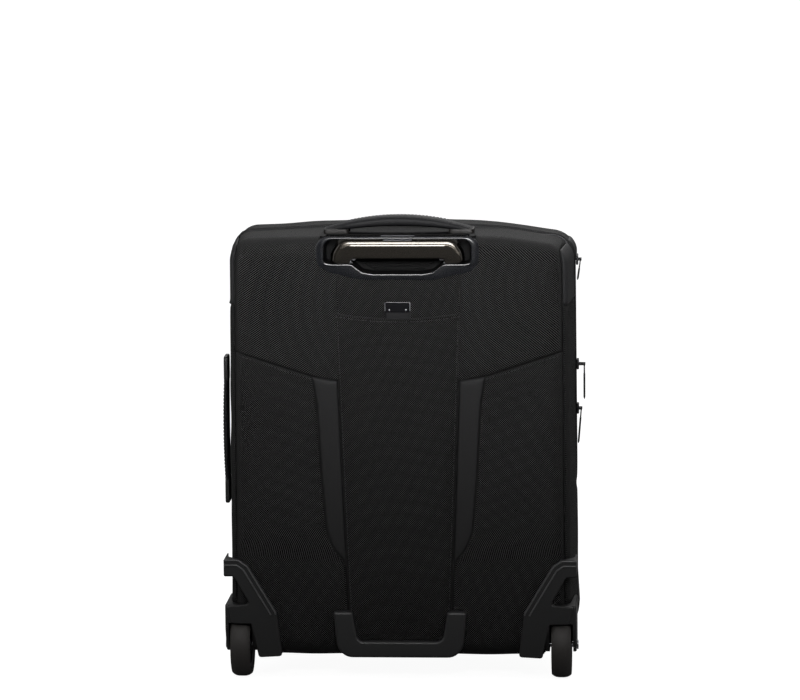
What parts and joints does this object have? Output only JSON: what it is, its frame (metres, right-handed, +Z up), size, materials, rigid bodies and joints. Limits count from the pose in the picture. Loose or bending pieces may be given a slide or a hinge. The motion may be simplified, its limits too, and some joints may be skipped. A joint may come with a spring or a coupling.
{
  "type": "softside upright suitcase",
  "caption": "Black fabric upright cabin case with inset telescopic handle, corner wheels, rear skid, carry handles, zipped lid and pockets.",
  "frame": {"origin": "on the floor under the middle of the case's bounding box", "axes": "+Z up; -Y out of the back, where the wheels and pull handle are; +Y out of the front pockets; +X to the right when facing the back"},
  "size_m": [0.4229, 0.1999, 0.5337],
  "materials": {
    "body_fabric": "ballistic weave, black",
    "trim_pu": "smooth dark grey coated trim",
    "black_moulding": "satin black moulded",
    "gunmetal_grip": "metallised gunmetal",
    "tube_aluminium": "anodised satin",
    "steel": "zinc plated",
    "tyre_rubber": "matt",
    "hub_plastic": "moulded",
    "zip_coil": "nylon coil on tape",
    "zip_metal": "dark nickel",
    "lining": "light twill",
    "webbing": "woven webbing",
    "board": "sheet",
    "tag_gloss": "gloss black",
    "card": "plain card"
  },
  "bodies": {
    "case": {"tub_shell": "body_fabric", "back_board": "board", "upper_centre_panel": "body_fabric", "lower_centre_panel": "body_fabric", "divider_lining": "lining", "opening_hoop": "steel", "tie_strap_left": "webbing", "tie_strap_right": "webbing", "tie_buckle": "black_moulding", "expansion_zip": "zip_coil", "rear_skid": "black_moulding", "handle_bezel": "black_moulding", "outer_tube_left": "tube_aluminium", "outer_tube_right": "tube_aluminium", "tube_foot_bracket": "black_moulding", "wheel_housing_left": "black_moulding", "wheel_housing_right": "black_moulding", "axle_left": "steel", "axle_right": "steel", "carry_handle_base_left": "black_moulding", "carry_handle_base_right": "black_moulding", "side_handle_base_upper": "black_moulding", "side_handle_base_lower": "black_moulding"},
    "handle_middle": {"middle_tube_left": "tube_aluminium", "middle_tube_right": "tube_aluminium"},
    "handle_inner": {"inner_tube_left": "tube_aluminium", "inner_tube_right": "tube_aluminium", "grip_upper_shell": "gunmetal_grip", "grip_lower_shell": "gunmetal_grip"},
    "release": {"release_button": "gunmetal_grip", "push_rod_left": "tube_aluminium", "push_rod_right": "tube_aluminium"},
    "wheel_left": {"tyre_left": "tyre_rubber", "wheel_hub_left": "hub_plastic"},
    "wheel_right": {"tyre_right": "tyre_rubber", "wheel_hub_right": "hub_plastic"},
    "top_handle": {"top_carry_handle": "trim_pu"},
    "side_handle": {"side_carry_handle": "trim_pu"},
    "address_tag": {"tag_tab": "trim_pu", "tag_plate": "tag_gloss", "address_card": "card"},
    "expansion": {"expansion_gusset": "body_fabric", "main_zip": "zip_coil", "hinge_strip": "body_fabric"},
    "main_upper_slider": {"main_upper_slider": "zip_metal"},
    "main_upper_puller": {"main_upper_puller": "zip_metal"},
    "main_lower_slider": {"main_lower_slider": "zip_metal"},
    "main_lower_puller": {"main_lower_puller": "zip_metal"},
    "expansion_slider": {"expansion_slider": "zip_metal"},
    "expansion_puller": {"expansion_puller": "zip_metal"},
    "lid": {"lid_shell": "body_fabric", "lid_lining": "lining", "front_foot_left": "black_moulding", "front_foot_right": "black_moulding"},
    "upper_pocket": {"upper_pocket_panel": "body_fabric"},
    "lower_pocket": {"lower_pocket_panel": "body_fabric"},
    "upper_pocket_slider": {"upper_pocket_slider": "zip_metal"},
    "upper_pocket_puller": {"upper_pocket_puller": "zip_metal"},
    "lower_pocket_slider": {"lower_pocket_slider": "zip_metal"},
    "lower_pocket_puller": {"lower_pocket_puller": "zip_metal"}
  },
  "joints": [
    {"name": "pull_handle_lower_stage", "type": "slide", "parent": "case", "child": "handle_middle", "axis": [0, 0, 1], "range_m": [0, 0.235]},
    {"name": "pull_handle_upper_stage", "type": "slide", "parent": "handle_middle", "child": "handle_inner", "axis": [0, 0, 1], "range_m": [0, 0.235]},
    {"name": "release_button_press", "type": "slide", "parent": "handle_inner", "child": "release", "axis": [0, 0, -1], "range_m": [0, 0.004], "stiffness_N_per_m": 500, "springref_m": -0.004},
    {"name": "wheel_left_spin", "type": "hinge", "parent": "case", "child": "wheel_left", "pos_m": [-0.184, -0.062, 0.038], "axis": [1, 0, 0], "continuous": true},
    {"name": "wheel_right_spin", "type": "hinge", "parent": "case", "child": "wheel_right", "pos_m": [0.184, -0.062, 0.038], "axis": [1, 0, 0], "continuous": true},
    {"name": "top_handle_lift", "type": "slide", "parent": "case", "child": "top_handle", "axis": [0, 0, 1], "range_m": [0, 0.012]},
    {"name": "side_handle_lift", "type": "slide", "parent": "case", "child": "side_handle", "axis": [-1, 0, 0], "range_m": [0, 0.012], "stiffness_N_per_m": 60, "springref_m": -0.004},
    {"name": "address_tag_pull", "type": "slide", "parent": "case", "child": "address_tag", "axis": [0, 0, 1], "range_m": [0, 0.022]},
    {"name": "expansion_open", "type": "slide", "parent": "case", "child": "expansion", "axis": [0, 1, 0], "range_m": [0, 0.03], "stiffness_N_per_m": 60, "springref_m": -0.02},
    {"name": "main_upper_slider_travel", "type": "slide", "parent": "expansion", "child": "main_upper_slider", "axis": [0, 0, 1], "range_m": [0, 0.1], "stiffness_N_per_m": 20, "springref_m": -0.01},
    {"name": "main_upper_puller_flip", "type": "hinge", "parent": "main_upper_slider", "child": "main_upper_puller", "pos_m": [0.2093, 0.026, 0.352], "axis": [0, -1, 0], "range_deg": [0, 160]},
    {"name": "main_lower_slider_travel", "type": "slide", "parent": "expansion", "child": "main_lower_slider", "axis": [0, 0, -1], "range_m": [0, 0.12], "stiffness_N_per_m": 20, "springref_m": -0.02},
    {"name": "main_lower_puller_flip", "type": "hinge", "parent": "main_lower_slider", "child": "main_lower_puller", "pos_m": [0.2057, 0.026, 0.3], "axis": [0, -1, 0], "range_deg": [0, 140]},
    {"name": "expansion_slider_travel", "type": "slide", "parent": "case", "child": "expansion_slider", "axis": [0, 0, -1], "range_m": [0, 0.3], "stiffness_N_per_m": 10, "springref_m": -0.02},
    {"name": "expansion_puller_flip", "type": "hinge", "parent": "expansion_slider", "child": "expansion_puller", "pos_m": [0.2055, 0.0125, 0.476], "axis": [0, -1, 0], "range_deg": [0, 160]},
    {"name": "lid_open", "type": "hinge", "parent": "expansion", "child": "lid", "pos_m": [-0.2006, 0.0262, 0.27], "axis": [0, 0, 1], "range_deg": [0, 140]},
    {"name": "upper_pocket_open", "type": "hinge", "parent": "lid", "child": "upper_pocket", "pos_m": [0, 0.0913, 0.303], "axis": [-1, 0, 0], "range_deg": [0, 22], "stiffness_Nm_per_rad": 2, "springref_deg": -5.73},
    {"name": "lower_pocket_open", "type": "hinge", "parent": "lid", "child": "lower_pocket", "pos_m": [0, 0.0913, 0.062], "axis": [-1, 0, 0], "range_deg": [0, 22], "stiffness_Nm_per_rad": 2, "springref_deg": -5.73},
    {"name": "upper_pocket_slider_travel", "type": "slide", "parent": "upper_pocket", "child": "upper_pocket_slider", "axis": [1, 0, 0], "range_m": [0, 0.28]},
    {"name": "lower_pocket_slider_travel", "type": "slide", "parent": "lower_pocket", "child": "lower_pocket_slider", "axis": [1, 0, 0], "range_m": [0, 0.28]},
    {"name": "upper_pocket_puller_flip", "type": "hinge", "parent": "upper_pocket_slider", "child": "upper_pocket_puller", "pos_m": [-0.148, 0.0978, 0.484], "axis": [-1, 0, 0], "range_deg": [-160, 0]},
    {"name": "lower_pocket_puller_flip", "type": "hinge", "parent": "lower_pocket_slider", "child": "lower_pocket_puller", "pos_m": [-0.148, 0.0978, 0.294], "axis": [-1, 0, 0], "range_deg": [-160, 0]}
  ]
}
